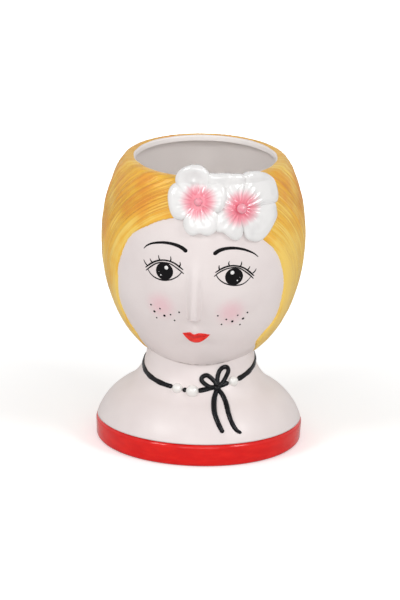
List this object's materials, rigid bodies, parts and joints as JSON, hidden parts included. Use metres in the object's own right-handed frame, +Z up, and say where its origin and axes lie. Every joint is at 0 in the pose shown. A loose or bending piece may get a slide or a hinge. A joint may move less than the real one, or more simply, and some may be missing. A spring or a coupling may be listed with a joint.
{
  "type": "head planter",
  "caption": "Glazed ceramic planter shaped as a hollow doll-like head on neck and shoulders, open at the crown, with flowers, a choker with a bow, and a drain plug.",
  "frame": {"origin": "middle of the standing face, on the surface that the planter stands on", "axes": "+Z up, the face looks along -Y, +X is on the viewer's right when facing it"},
  "size_m": [0.1424, 0.1424, 0.2114],
  "materials": {
    "red_glaze": "gloss",
    "skin_glaze": "gloss",
    "yellow_glaze": "gloss",
    "lip_red_glaze": "gloss",
    "plug_rubber": "matte",
    "pink_glaze": "gloss",
    "petal_glaze": "gloss",
    "pearl_glaze": "gloss",
    "black_glaze": "gloss"
  },
  "bodies": {
    "planter": {"base_pan": "red_glaze", "bow_knot": "black_glaze", "bow_loop_left": "black_glaze", "bow_loop_right": "black_glaze", "bow_tail_left": "black_glaze", "bow_tail_right": "black_glaze", "bust": "skin_glaze", "choker_ribbon": "black_glaze", "hair": "yellow_glaze", "head": "skin_glaze", "left_flower_bottom_petal": "petal_glaze", "left_flower_knob": "pink_glaze", "left_flower_left_petal": "petal_glaze", "left_flower_right_petal": "petal_glaze", "left_flower_top_petal": "petal_glaze", "left_flower_upper_right_petal": "petal_glaze", "lips": "lip_red_glaze", "pearl_left": "pearl_glaze", "pearl_middle": "pearl_glaze", "pearl_right": "pearl_glaze", "ribbon_spacer": "black_glaze", "ribbon_stub_left": "black_glaze", "ribbon_stub_right": "black_glaze", "right_flower_knob": "pink_glaze", "right_flower_left_petal": "petal_glaze", "right_flower_lower_left_petal": "petal_glaze", "right_flower_lower_right_petal": "petal_glaze", "right_flower_upper_left_petal": "petal_glaze", "right_flower_upper_right_petal": "petal_glaze"},
    "plug": {"drain_plug": "plug_rubber"}
  },
  "joints": [
    {"name": "plug_pull", "type": "slide", "parent": "planter", "child": "plug", "axis": [0, 0, -1], "range_m": [0, 0.02]}
  ]
}
